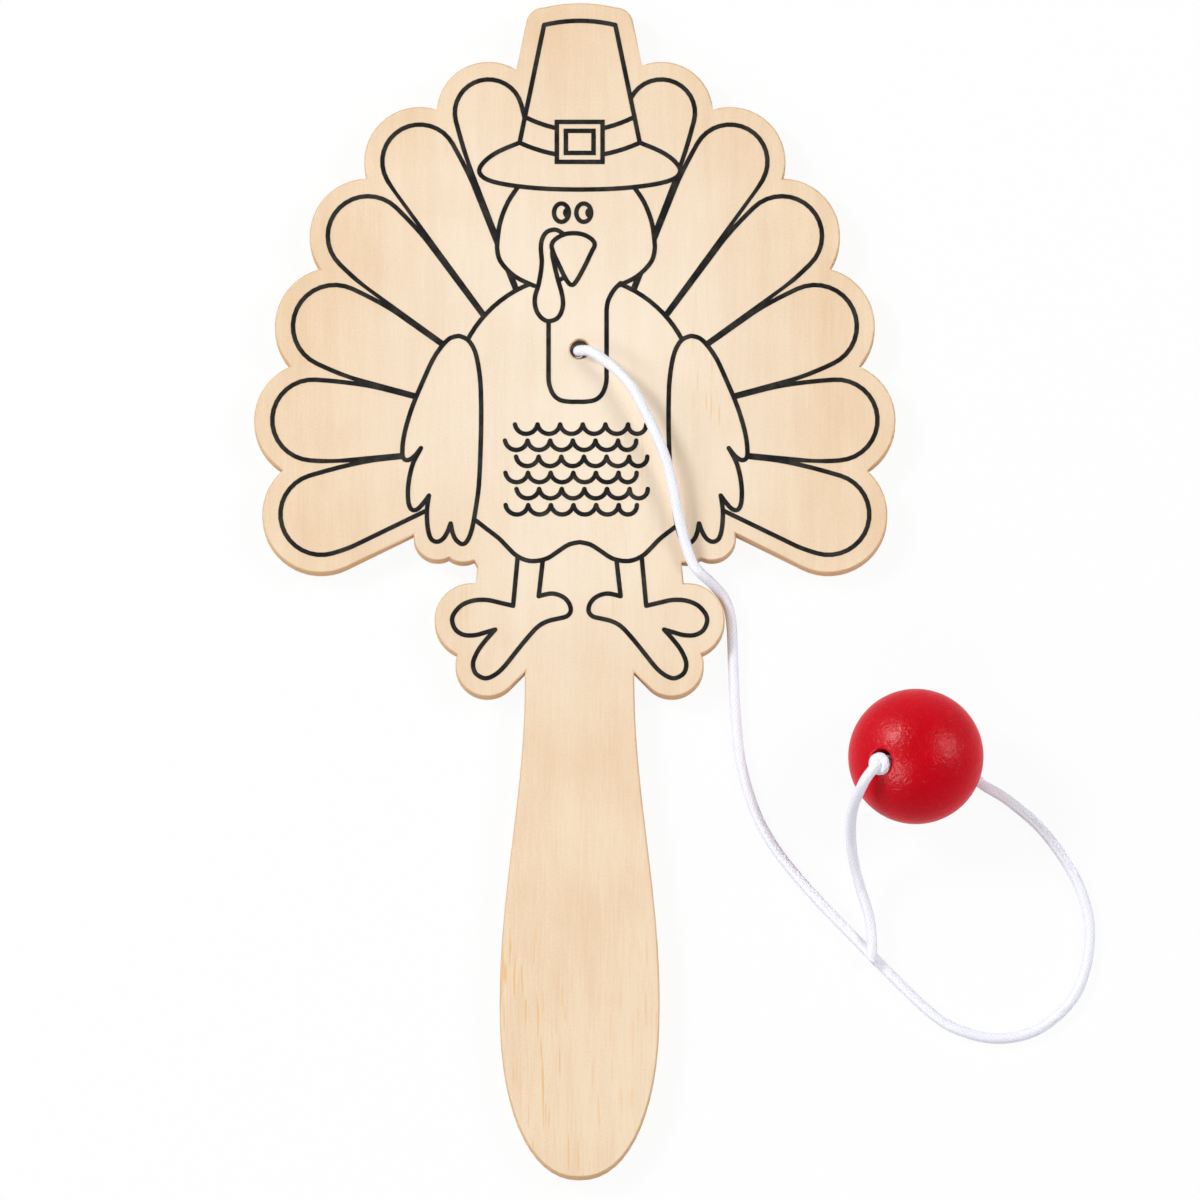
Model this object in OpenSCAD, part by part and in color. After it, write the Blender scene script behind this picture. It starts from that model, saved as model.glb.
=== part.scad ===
// Paddle ball game: a flat wooden paddle cut round a printed turkey, with a ball on an elastic cord.
// It lies on its back, the grip toward -Y and the hat toward +Y.
// The origin is on the axis of the cord hole, in the plane of the back face.

/* [Board] */
// Thickness of the glued board
board_t = 5; // [4:0.5:7]
// Thickness of each outer ply
skin_t = 1; // [0.6:0.1:1.4]
// Wood left outside the printed line, all round the figure
cut_margin = 3.4; // [2.6:0.1:4]
// Diameter of the cord hole
hole_d = 3.6; // [3:0.1:4.4]
// Diameter of the recess for the knot in the back
recess_d = 7; // [6.4:0.1:8]
// Depth of the recess
recess_l = 3; // [2.9:0.1:3.4]

/* [Ink] */
// Width of a printed line
ink_w = 0.86; // [0.6:0.02:1]
// Thickness of the ink on the wood
ink_t = 0.06; // [0.04:0.01:0.1]

/* [Tail] */
// Reach of the top feathers, from where the fan spreads to the centre of their tip
fan_r = 64; // [60:1:68]
// How far below the cord hole the fan spreads from
fan_drop = 17; // [15:0.5:19]
// Sideways place of the tail, the wings and the head from the cord hole
figure_x = -0.9; // [-1.5:0.1:0.5]

/* [Hat] */
// Height of the underside of the brim above the cord hole
brim_y = 30.3; // [29:0.1:31.5]
// Width of the brim
brim_w = 37.8; // [35:0.1:40]
// Height of the brim, from its underside to the crown
brim_h = 8.9; // [8:0.1:10]
// Width of the crown at the brim
crown_base_w = 22.6; // [21:0.1:24]
// Width of the crown at its top
crown_top_w = 13.4; // [12:0.1:15]
// Height of the crown at its corners
crown_h = 22.4; // [21:0.1:24]
// Rise of the crown's top line between its corners
crown_rise = 0.8; // [0.4:0.1:1.2]
// Height of the hat band
band_h = 4.9; // [4:0.1:6]
// Sag of the band in its middle
band_sag = 2.6; // [2:0.1:3]
// Outer width of the buckle
buckle_w = 8.6; // [8:0.1:10]
// Outer height of the buckle
buckle_h = 7.6; // [7:0.1:8.5]
// Width of the buckle's frame, from line to line
buckle_rim = 1.7; // [1.4:0.1:2]

/* [Head] */
// Width of the head
head_w = 29.6; // [28:0.1:31]
// Height of the head below the brim
head_h = 19.1; // [18:0.1:20]
// Sideways place of the head from the cord hole
head_x = -0.7; // [-1:0.1:-0.2]
// Width of the neck patch round the cord hole
neck_w = 10.9; // [10:0.1:12]
// Length of the neck patch below the cord hole
neck_l = 10; // [9:0.1:11]
// Sideways place of the neck patch from the cord hole
neck_x = -0.4; // [-0.8:0.1:0.4]
// Width of one eye
eye_w = 2.8; // [2.6:0.1:3.2]
// Height of one eye
eye_h = 3.5; // [3.2:0.1:4]
// Distance between the two eyes' centres
eye_gap = 4.2; // [4.1:0.1:4.6]
// Height of the eyes above the tip of the beak
eye_rise = 13.7; // [13:0.1:14.6]
// Height of the tip of the beak above the cord hole
beak_rise = 12.2; // [11.6:0.1:12.8]
// Width of the beak
beak_w = 8.2; // [7.6:0.1:8.8]
// Height of the beak
beak_h = 9.8; // [9:0.1:10.4]
// Length of the wattle that hangs beside the beak
wattle_l = 17.4; // [17:0.1:18]

/* [Body] */
// Radius of the shoulders' round line
shoulder_r = 22.7; // [22:0.1:24]
// Depth of the shoulders' centre below the cord hole
shoulder_drop = 8.7; // [8:0.1:9.4]
// Width of the belly's lower line
belly_w = 38.8; // [37.5:0.1:40]
// Height that the belly's lower line spans
belly_h = 7.6; // [7:0.1:8.2]
// Depth of the belly's lowest points below the cord hole
belly_drop = 40.2; // [39.5:0.1:41]
// Width of one breast feather
scale_w = 4.25; // [4:0.05:4.4]
// Depth of one breast feather
scale_h = 1.8; // [1.5:0.05:2]
// Distance from one row of breast feathers to the next
scale_row = 3.06; // [2.9:0.02:3.2]
// Depth of the first row's points below the cord hole
scale_drop = 14.3; // [13.8:0.1:15]

/* [Wings] */
// Width of one wing
wing_w = 14.8; // [14:0.1:15.4]
// Height of one wing
wing_h = 39.5; // [38.5:0.1:40.5]
// Distance of a wing's inner side from the middle of the figure
wing_in = 17.6; // [17:0.1:18.4]
// Depth of a wing's lowest point below the cord hole
wing_drop = 37; // [36:0.1:38]

/* [Feet] */
// Width of one foot, from its inner to its outer toe
foot_w = 22.2; // [21:0.1:23]
// Height of one foot
foot_h = 16; // [15:0.1:16.6]
// Distance of the inner toe from the middle of the figure
foot_in = 1.7; // [1.4:0.1:2.4]
// Depth of a foot's lowest point below the cord hole
foot_drop = 62.4; // [62:0.1:63.4]
// Width of the board across the two legs
legs_w = 38.2; // [36:0.1:39]

/* [Grip] */
// Greatest width of the grip
grip_w = 30; // [26:0.5:34]
// Width of the grip where it leaves the feet
grip_neck_w = 20.5; // [18:0.1:22]
// Distance from the cord hole to the end of the grip
grip_end = 156.8; // [140:0.5:170]
// Length of the grip's rounded end
grip_round = 32.6; // [24:0.2:36]

/* [Ball] */
// Diameter of the ball
ball_d = 25.4; // [25:0.1:26]
// Diameter of the bore through the ball
bore_d = 4.3; // [4:0.1:4.8]
// Depth of the eased edge at each end of the bore
bore_ease = 0.5; // [0.3:0.1:0.6]
// Diameter of the elastic cord
cord_d = 2; // [1.8:0.1:2.2]

/* [Hidden] */
$fn = 64;

core_t = board_t - 2 * skin_t;
hair = 0.01; // overrun of cuts
knot_gap = 0.3; // from the stopper knot to the end of its recess
knot_floor = 11.7; // distance of the end of the ball knot's stub from the ball's centre
ball_x = 63; // where the ball lies
ball_y = -78.3;
ball_lean = 34; // angle of the bore from upright
ball_turn = 199; // heading of the bore's upper end

// The tail has six feathers a side. Each stands at an angle from upright, between two boundary angles.
feather_angles = [14.7, 29, 45.3, 64.7, 85.9, 106.8];
edge_angles = [8.1, 21.3, 36.2, 54.2, 75, 95.8, 116.4];
// Distance of each tip's centre from the foot of the fan, and radius of each tip, as shares of fan_r
reach_shares = [1, 0.94, 0.855, 0.78, 0.77, 0.777];
tip_shares = [0.099, 0.11, 0.118, 0.1225, 0.12, 0.12];
last_feather = len(feather_angles) - 1;
feathers = [0 : last_feather];
fan = [figure_x, -fan_drop];

// Half of the brim from the crown to its middle, as shares of brim_w and brim_h
brim_shares = [[0.3, 1], [0.4, 0.82], [0.466, 0.63], [0.5, 0.42], [0.476, 0.25], [0.4, 0.135],
  [0.265, 0.05], [0.13, 0.01], [0, 0]];
// Half of the head's line from the brim down, as shares of head_w and head_h
head_shares = [[0.37, 1], [0.433, 0.85], [0.48, 0.66], [0.498, 0.475], [0.499, 0.37], [0.48, 0.265],
  [0.423, 0.16], [0.357, 0.085], [0.265, 0.02]];
// The curve from the head's right end down to the side of the neck patch, as shares of neck_w
nape_shares = [[0.745, 1.15], [0.665, 1.075], [0.585, 0.965], [0.52, 0.82], [0.5, 0.68]];
// Round end of the neck patch, as shares of neck_w
chin_shares = [[0.5, 0.42], [0.485, 0.29], [0.42, 0.13], [0.3, 0.03], [0.13, 0], [0, 0]];
// The beak, as shares of beak_w and beak_h from its lowest point
beak_shares = [[-0.04, 0], [0.07, 0.05], [0.26, 0.33], [0.43, 0.63], [0.505, 0.76], [0.475, 0.85],
  [0.36, 0.93], [0.2, 0.985], [0, 1], [-0.2, 0.975], [-0.4, 0.88], [-0.48, 0.77], [-0.44, 0.62],
  [-0.32, 0.4], [-0.16, 0.12]];
// The wattle's line from the top of the beak round its lower end, as shares of wattle_l
wattle_shares = [[0.025, 0.945], [-0.02, 0.98], [-0.08, 1], [-0.16, 0.975], [-0.21, 0.9], [-0.225, 0.8],
  [-0.215, 0.66], [-0.225, 0.54], [-0.25, 0.4], [-0.285, 0.28], [-0.29, 0.19], [-0.265, 0.1],
  [-0.21, 0.03], [-0.14, 0], [-0.05, 0.03], [0, 0.11], [0.015, 0.21], [-0.005, 0.33], [-0.045, 0.47],
  [-0.08, 0.62], [-0.1, 0.72], [-0.1, 0.775]];
// The short crease between the beak and the wattle, as shares of beak_w and beak_h
crease_shares = [[-0.31, 0.09], [-0.2, 0.14]];
// Half of the belly's lower line from the wing to the middle, as shares of belly_w and belly_h
belly_shares = [[0.5, 1], [0.45, 0.8], [0.39, 0.56], [0.35, 0.35], [0.31, 0.15], [0.26, 0.02],
  [0.21, 0], [0.155, 0.07], [0.104, 0.24], [0.052, 0.41], [0, 0.47]];
// Where the six rows of breast feathers start, as shares of scale_w left of the middle of the figure
row_shares = [2.65, 3.09, 2.6, 3.07, 2.58, 3.06];
scales_in_row = 6;
last_scale_share = 0.8; // the last feather of a row is narrower

// One wing's line in four strokes, as shares of wing_w outward and wing_h upward
wing_side_shares = [[0.281, 1], [0.166, 0.98], [0.078, 0.924], [0.027, 0.835], [0.004, 0.734],
  [0, 0.582], [0.01, 0.43], [0.03, 0.278], [0.071, 0.165], [0.119, 0.068], [0.18, 0.013],
  [0.247, 0], [0.322, 0.022], [0.363, 0.056], [0.386, 0.099]];
wing_tip_shares = [[0.386, 0.099], [0.43, 0.056], [0.49, 0.023], [0.566, 0.011], [0.64, 0.028],
  [0.678, 0.081], [0.688, 0.152], [0.675, 0.203], [0.661, 0.233]];
wing_low_shares = [[0.661, 0.233], [0.736, 0.195], [0.81, 0.167], [0.878, 0.165], [0.919, 0.195],
  [0.929, 0.253], [0.912, 0.316], [0.871, 0.38], [0.824, 0.42], [0.763, 0.461]];
wing_top_shares = [[0.763, 0.461], [0.844, 0.423], [0.925, 0.403], [0.986, 0.412], [1, 0.448],
  [0.98, 0.519], [0.919, 0.608], [0.844, 0.689], [0.736, 0.785], [0.614, 0.886], [0.492, 0.954],
  [0.39, 0.99], [0.281, 1]];
// Centres of the two rounds that the board has under a wing, and their radius inside the margin
wing_round_shares = [[0.55, 0.035], [0.226, 0.025]];
wing_round_share = 0.074;

// One leg's two lines, and one foot's line in two strokes, as shares of foot_w outward and foot_h upward
leg_out_shares = [[0.446, 1.46], [0.486, 0.856]];
leg_in_shares = [[0.232, 1.43], [0.27, 0.969]];
foot_top_shares = [[0.486, 0.856], [0.601, 0.894], [0.705, 0.925], [0.818, 0.919], [0.921, 0.863],
  [0.989, 0.756], [1, 0.663], [0.966, 0.563], [0.894, 0.509], [0.804, 0.509], [0.727, 0.538],
  [0.637, 0.575]];
foot_low_shares = [[0.637, 0.575], [0.705, 0.469], [0.777, 0.338], [0.824, 0.188], [0.809, 0.069],
  [0.755, 0.01], [0.7, 0], [0.628, 0.05], [0.556, 0.144], [0.457, 0.319], [0.358, 0.488],
  [0.273, 0.613], [0.191, 0.675], [0.101, 0.706], [0.034, 0.731], [0, 0.788], [0.007, 0.869],
  [0.047, 0.944], [0.11, 0.99], [0.178, 1], [0.27, 0.969]];
// Centres of a foot's two rounds on the board, and their radii inside the margin as shares of foot_w
toe_shares = [[0.835, 0.69], [0.703, 0.156]];
toe_round_shares = [0.162, 0.117];
toe_web_angle = 220.5; // where the board leaves the lower round for the grip
toe_web_share = 0.14; // height of that line's upper end, of foot_h
corner_share = 0.029; // the small slanted corner below the left wing, of legs_w

// The cord's route from the stopper knot to the ball's knot, and its tail
cord_route = [[-0.3, -0.3, recess_l], [-0.3, -0.3, (3 * recess_l + board_t) / 4],
  [-0.3, -0.3, (recess_l + board_t) / 2], [0, -0.35, 5.5], [0.8, -0.5, 6.8], [2.3, -0.9, 7.7],
  [4.4, -2.4, 8.2], [7.8, -5.4, 8.8], [11, -9.9, 9.4], [16, -21, 9], [18.8, -33.1, 7.6],
  [20.1, -37.8, 6.9], [21.2, -40.8, 6.5], [22.6, -42.6, 6.1], [24.5, -44.1, 4.7], [26, -45.5, 3.2],
  [27.2, -47, 2.1], [28.2, -49.5, 1.3], [28.6, -53, 1], [28.9, -62, 1], [29.3, -69, 1],
  [30.5, -79.1, 1], [34.3, -90.1, 1], [41.6, -100.4, 1], [55.2, -114.8, 1], [66.2, -125.5, 1],
  [73, -129.1, 1], [80, -130, 1], [87.1, -127.7, 1], [93.3, -121.2, 1], [95.7, -111, 1],
  [93.7, -101.3, 1], [87.7, -91.7, 1], [80.8, -85.3, 1], [75, -81.5, 1], [72.3, -77.5, 1.1],
  [70.2, -75.9, 2], [67.8, -76.7, 5.2], [63, -78.3, 12.7], [57, -80.4, 22.1]];
tail_route = [[54.8, -82.3, 23.8], [53.1, -84.7, 22.6], [51.1, -89, 16.5], [50.9, -94.5, 9.6],
  [52.3, -101, 5], [54.2, -107, 3.2], [54.8, -112, 3], [54.7, -114.3, 3.1], [54.5, -115.7, 3.2]];
cord_sides = 8;

// A smooth curve through points, with a few steps from each to the next
function between(a, b, c, d, t) =
  (2 * b + (c - a) * t + (2 * a - 5 * b + 4 * c - d) * t * t + (3 * b - a - 3 * c + d) * t * t * t) / 2;
function curve(p, steps = 3) = [
  for (i = [0 : len(p) - 2], k = [0 : steps - 1])
    between(p[max(i - 1, 0)], p[i], p[i + 1], p[min(i + 2, len(p) - 1)], k / steps),
  p[len(p) - 1]
];
function ring_curve(p, steps = 3) = let (n = len(p)) [
  for (i = [0 : n - 1], k = [0 : steps - 1])
    between(p[(i + n - 1) % n], p[i], p[(i + 1) % n], p[(i + 2) % n], k / steps)
];
function reversed(p) = [for (i = [len(p) - 1 : -1 : 0]) p[i]];
function flipped(p) = [for (q = p) [-q.x, q.y]];
function sized(shares, w, h) = [for (s = shares) [s.x * w, s.y * h]];
function moved(p, v) = [for (q = p) q + v];
function mirrored_pair(p) = concat(p, reversed(flipped(p)));
function unit(v) = v / norm(v);
function heading(angle) = [-sin(angle), cos(angle)]; // upright at 0, turning left
function arc(c, r, from, to, steps) = [
  for (i = [0 : steps]) c + r * heading(from + (to - from) * i / steps)
];
function bow(w, rise, steps) = [ // a shallow curve of a width, with its ends at height 0
  for (i = [-steps : steps]) [w / 2 * i / steps, rise * (1 - pow(i / steps, 2))]
];

// The line beside a curve, at a distance to its left, and the line round a closed curve
function beside(p, d) = [
  for (i = [0 : len(p) - 1])
    let (along = unit(p[min(i + 1, len(p) - 1)] - p[max(i - 1, 0)])) p[i] + d * [-along.y, along.x]
];
function turning(p) = sign([for (i = [0 : len(p) - 1]) cross(p[i], p[(i + 1) % len(p)])] * [for (q = p) 1]);
function around(p, d) = let (n = len(p), side = -turning(p)) [
  for (i = [0 : n - 1])
    let (along = unit(p[(i + 1) % n] - p[(i + n - 1) % n])) p[i] + side * d * [-along.y, along.x]
];

// A pen stroke with round ends, and one that closes on itself
function cap(p, from) = let (along = unit(p - from)) [
  for (a = [60, 30, 0, -30, -60]) p + ink_w / 2 * (cos(a) * along + sin(a) * [-along.y, along.x])
];
module stroke(p) {
  last = len(p) - 1;
  polygon(concat(
    beside(p, ink_w / 2), cap(p[last], p[last - 1]),
    reversed(beside(p, -ink_w / 2)), cap(p[0], p[1])
  ));
}
module ring_stroke(p) {
  difference() {
    polygon(around(p, ink_w / 2));
    polygon(around(p, -ink_w / 2));
  }
}
module frame_stroke(w, h) {
  difference() {
    square([w + ink_w, h + ink_w], center = true);
    square([w - ink_w, h - ink_w], center = true);
  }
}
module ink() {
  color("#201e1d") translate([0, 0, board_t]) linear_extrude(ink_t) children();
}
module both_sides(x) {
  for (side = [-1, 1]) translate([x, 0]) mirror([side > 0 ? 1 : 0, 0]) children();
}

// Places that the cut outline and the print share
crown_y = brim_y + brim_h;
crown_top = crown_y + crown_h;
crown_side = unit([(crown_top_w - crown_base_w) / 2, crown_h]);
crown_out = [crown_side.y, -crown_side.x];
band_top_w = crown_base_w - (crown_base_w - crown_top_w) * band_h / crown_h;
function feather_tip(i) = fan_r * reach_shares[i] * heading(feather_angles[i]);
function tip_r(i) = fan_r * tip_shares[i];

// One feather's side: straight along its boundary, then bending out of it into the round tip
function feather_side(i, edge) =
  let (
    tip = feather_tip(i),
    r = tip_r(i),
    out = edge < feather_angles[i] ? 1 : -1,
    lean = abs(edge - feather_angles[i]),
    meet = r / tan(lean),
    reach = fan_r * reach_shares[i],
    leave = meet - (reach - meet) * 0.55,
    start = leave / cos(lean) * heading(edge),
    corner = meet / cos(lean) * heading(edge),
    end = tip + r * heading(feather_angles[i] - out * 90)
  )
  concat(
    [fan_r * 0.2 * heading(edge)],
    [for (k = [0 : 6]) let (t = k / 6) pow(1 - t, 2) * start + 2 * t * (1 - t) * corner + t * t * end]
  );
function feather_line(i) =
  let (a = feather_angles[i], inner = edge_angles[i] + 0.3, outer = edge_angles[i + 1] - 0.3)
  concat(
    feather_side(i, inner),
    [for (k = [1 : 15]) feather_tip(i) + tip_r(i) * heading(a - 90 + 180 * k / 16)],
    reversed(feather_side(i, outer))
  );
// The outer edge of the line round one feather, as far as it lies between the feather's two boundaries
function feather_rim(i) = [
  for (q = around(feather_line(i), ink_w / 2)) let (a = atan2(-q.x, q.y))
    if ((a > edge_angles[i] || i == 0) && (a < edge_angles[i + 1] || i == last_feather)) q
];

wing_place = [-wing_in, -wing_drop];
function wing_stroke(shares) = moved(curve(flipped(sized(shares, wing_w, wing_h))), wing_place);
wing_strokes = [for (s = [wing_side_shares, wing_tip_shares, wing_low_shares, wing_top_shares])
  wing_stroke(s)];
wing_outline = [for (s = wing_strokes, i = [0 : len(s) - 2]) s[i]];

head_y = brim_y - head_h + ink_w / 2;
head_half = curve(sized(head_shares, head_w, head_h));

foot_place = [-foot_in, -foot_drop];
function foot_stroke(shares) = moved(curve(flipped(sized(shares, foot_w, foot_h))), foot_place);

// The cut outline of the board
wing_rounds = [for (s = wing_round_shares) wing_place + [-s.x * wing_w, s.y * wing_h]];
module lobes() {
  for (i = feathers) translate(feather_tip(i)) circle(r = tip_r(i) + cut_margin, $fn = 96);
  edge = edge_angles[last_feather + 1];
  rim = feather_tip(last_feather) + (tip_r(last_feather) + cut_margin) * heading(edge + 90);
  across = tip_r(0) / 2; // each half reaches past the middle
  polygon(concat(
    [[across, feather_tip(0).y - across]], [for (i = feathers) feather_tip(i)],
    [rim, rim - fan_r * 0.29 * heading(edge)], moved(wing_rounds, -fan), [[across, -foot_h]]
  ));
}
module hat_blank() {
  crown = [crown_base_w / 2, crown_y];
  corner = [crown_top_w / 2, crown_top];
  polygon(concat(
    [[0, crown_y]], [crown + cut_margin * crown_out, corner + cut_margin * crown_out],
    reversed(moved(bow(crown_top_w, crown_rise, 6), [0, crown_top + cut_margin])),
    flipped([corner + cut_margin * crown_out, crown + cut_margin * crown_out])
  ));
  for (side = [-1, 1]) translate([side * corner.x, corner.y]) circle(r = cut_margin);
}
module wing_blank() {
  for (place = wing_rounds) translate(place) circle(r = wing_round_share * wing_w + cut_margin);
}
module foot_blank() {
  centres = [for (s = toe_shares) foot_place + [-s.x * foot_w, s.y * foot_h]];
  radii = [for (s = toe_round_shares) s * foot_w + cut_margin];
  for (i = [0, 1]) translate(centres[i]) circle(r = radii[i]);
  rim = centres[1] - radii[1] * [cos(toe_web_angle), -sin(toe_web_angle)];
  web = -foot_drop + foot_h * toe_web_share;
  polygon([[foot_in, -belly_drop], [-legs_w / 2, -belly_drop], centres[0], centres[1], rim,
    [-grip_neck_w * 0.45, web], [foot_in, web]]);
}
module legs_blank() {
  top = wing_drop - foot_h / 2;
  translate([-legs_w / 2, -foot_drop + foot_h / 2]) square([legs_w, foot_drop - foot_h / 2 - top]);
  corner = legs_w * corner_share;
  polygon([[-legs_w / 2 - corner, -belly_drop + corner], [-legs_w / 2 + corner, -belly_drop - 3 * corner],
    [-legs_w / 2 + corner, -belly_drop + corner]]);
}
grip_wide = grip_end - grip_round;
function grip_half(y) = let (t = (y + foot_drop) / (foot_drop - grip_wide))
  grip_neck_w / 2 + (grip_w - grip_neck_w) / 4 * (1 - cos(180 * t));
module grip_blank() {
  side = [for (i = [0 : 16]) let (y = -foot_drop + (foot_drop - grip_wide) * i / 16) [grip_half(y), y]];
  end = [for (a = [6 : 6 : 90])
    [grip_w / 2 * pow(cos(a), 0.9), -grip_wide - grip_round * pow(sin(a), 0.9)]];
  top = -(belly_drop + foot_drop) / 2;
  polygon(reversed(mirrored_pair(concat([[grip_neck_w / 2, top]], side, end))));
}
module board_outline() {
  union() {
    both_sides(figure_x) translate([0, -fan_drop]) lobes();
    both_sides(figure_x) wing_blank();
    both_sides(0) foot_blank();
    hat_blank();
    legs_blank();
    grip_blank();
  }
}

module back_ply() {
  color("#e3c496") difference() {
    linear_extrude(skin_t) board_outline();
    translate([0, 0, -hair]) cylinder(d = recess_d, h = skin_t + 2 * hair);
  }
}
module core_ply() {
  color("#d9b98a") difference() {
    translate([0, 0, skin_t]) linear_extrude(core_t) board_outline();
    translate([0, 0, skin_t - hair]) cylinder(d = recess_d, h = recess_l - skin_t + hair);
    cylinder(d = hole_d, h = board_t);
  }
}
module front_ply() {
  color("#f0d9b8") difference() {
    translate([0, 0, board_t - skin_t]) linear_extrude(skin_t) board_outline();
    cylinder(d = hole_d, h = board_t + hair);
  }
}

// Filled shapes that stand in front of the lines behind them, out to the outer edge of their own line
function brim_line() =
  let (half = curve(sized(brim_shares, brim_w, brim_h)))
  moved(concat(half, [for (i = [len(half) - 2 : -1 : 0]) [-half[i].x, half[i].y]]), [0, brim_y]);
function belly_line() =
  let (half = curve(sized(belly_shares, belly_w, belly_h)))
  moved(concat(flipped(half), [for (i = [len(half) - 2 : -1 : 0]) half[i]]), [0, -belly_drop]);
module hat_edges() {
  for (side = [-1, 1])
    stroke([[side * crown_base_w / 2, crown_y], [side * crown_top_w / 2, crown_top]]);
  stroke(brim_line());
}
module hat_front() {
  polygon(mirrored_pair([[crown_base_w / 2 - ink_w, crown_y - ink_w], [crown_base_w / 2, crown_y],
    [crown_top_w / 2, crown_top]]));
  polygon(brim_line());
  hat_edges();
}
module head_front() {
  polygon(moved(mirrored_pair(beside(head_half, ink_w / 2)), [head_x, head_y]));
}
module body_front() {
  cover = wing_in + wing_w / 4;
  translate([figure_x, -shoulder_drop]) {
    circle(r = shoulder_r + ink_w / 2, $fn = 96);
    translate([-cover, -wing_h / 2]) square([2 * cover, wing_h / 2]);
  }
}
module wing_front() {
  both_sides(figure_x) {
    polygon(wing_outline);
    for (s = wing_strokes) stroke(s);
  }
}
module belly_front() {
  polygon(concat(beside(belly_line(), -ink_w / 2), [[belly_w / 2, 0], [-belly_w / 2, 0]]));
}

module tail_print() {
  ink() difference() {
    both_sides(figure_x) translate([0, -fan_drop]) difference() {
      polygon([for (i = feathers, q = feather_rim(i)) q]);
      for (i = feathers) polygon(around(feather_line(i), -ink_w / 2));
    }
    hat_front();
    head_front();
    body_front();
    wing_front();
  }
}
module hat_print() {
  buckle_y = crown_y + band_h / 2 - band_sag * 0.88;
  ink() {
    hat_edges();
    stroke(moved(bow(crown_top_w, crown_rise, 5), [0, crown_top]));
    difference() {
      union() {
        stroke(moved(bow(crown_base_w, -band_sag, 8), [0, crown_y]));
        stroke(moved(bow(band_top_w, -band_sag, 8), [0, crown_y + band_h]));
      }
      translate([0, buckle_y]) square([buckle_w, buckle_h], center = true);
    }
    translate([0, buckle_y]) frame_stroke(buckle_w, buckle_h);
    translate([0, buckle_y]) frame_stroke(buckle_w - 2 * buckle_rim, buckle_h - 2 * buckle_rim);
  }
}
beak_place = [figure_x - ink_w / 2, beak_rise];
function eye_ring(w, h) = [for (a = [0 : 15 : 345]) [w / 2 * cos(a), h / 2 * sin(a)]];
module eye() {
  ring_stroke(eye_ring(eye_w, eye_h));
  translate([eye_w * 0.3, 0]) polygon(eye_ring(eye_w * 0.4, eye_h / 2));
}
module head_lines() {
  wattle = moved(curve(sized(wattle_shares, wattle_l, wattle_l)),
    beak_place + [-beak_w / 4, beak_h * 1.07 - wattle_l]);
  chin = curve(sized(chin_shares, neck_w, neck_w));
  nape = curve(sized(nape_shares, neck_w, neck_w));
  translate([head_x, head_y]) {
    stroke(head_half);
    stroke(flipped(head_half));
  }
  translate([neck_x, -neck_l]) stroke(concat(
    [[-neck_w / 2, neck_l + neck_w * 0.46]], flipped(chin),
    [for (i = [len(chin) - 2 : -1 : 0]) chin[i]], moved(reversed(nape), [0, neck_l])
  ));
  stroke(wattle);
  translate(beak_place) {
    ring_stroke(ring_curve(sized(beak_shares, beak_w, beak_h)));
    stroke(sized(crease_shares, beak_w, beak_h));
  }
}
module head_print() {
  ink() {
    difference() {
      head_lines();
      hat_front();
    }
    for (side = [-1, 1]) translate(beak_place + [side * eye_gap / 2, eye_rise]) eye();
  }
}
module scallop(w) {
  r = (w * w / 4 + scale_h * scale_h) / 2 / scale_h;
  half = acos((r - scale_h) / r);
  stroke(arc([w / 2, r - scale_h], r, 180 - half, 180 + half, 10));
}
module body_print() {
  ink() {
    difference() {
      union() {
        stroke(arc([figure_x, -shoulder_drop], shoulder_r, -64, 64, 30));
        stroke(belly_line());
      }
      head_front();
      head_lines();
      wing_front();
    }
    for (row = [0 : len(row_shares) - 1], i = [1 : scales_in_row])
      translate([figure_x + scale_w * (i - 1 - row_shares[row]), -scale_drop - row * scale_row])
        scallop(i < scales_in_row ? scale_w : scale_w * last_scale_share);
  }
}
module wing_print() {
  ink() both_sides(figure_x) for (s = wing_strokes) stroke(s);
}
module feet_print() {
  ink() difference() {
    both_sides(0) for (s = [leg_out_shares, leg_in_shares, foot_top_shares, foot_low_shares])
      stroke(foot_stroke(s));
    belly_front();
  }
}

// A round tube swept along a route, its rings kept from twisting
function tangents(p) = [
  for (i = [0 : len(p) - 1]) unit(p[min(i + 1, len(p) - 1)] - p[max(i - 1, 0)])
];
function square_to(v, t) = unit(v - (v * t) * t);
function normals(t, first) = [
  for (i = 0, n = square_to(first, t[0]); i < len(t); i = i + 1, n = i < len(t) ? square_to(n, t[i]) : n) n
];
module tube(p, d, sides) {
  t = tangents(p);
  n = normals(t, [1, 0, 0]);
  points = [
    for (i = [0 : len(p) - 1], k = [0 : sides - 1]) let (a = 360 * k / sides)
      p[i] + d / 2 * (cos(a) * n[i] + sin(a) * cross(t[i], n[i]))
  ];
  last = (len(p) - 1) * sides;
  faces = concat(
    [for (i = [0 : len(p) - 2], k = [0 : sides - 1]) let (a = i * sides + k, b = i * sides + (k + 1) % sides)
      each [[a, a + sides, b], [b, a + sides, b + sides]]],
    [for (k = [1 : sides - 2]) [0, k, k + 1]],
    [for (k = [1 : sides - 2]) [last, last + k + 1, last + k]]
  );
  polyhedron(points, faces);
}

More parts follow.
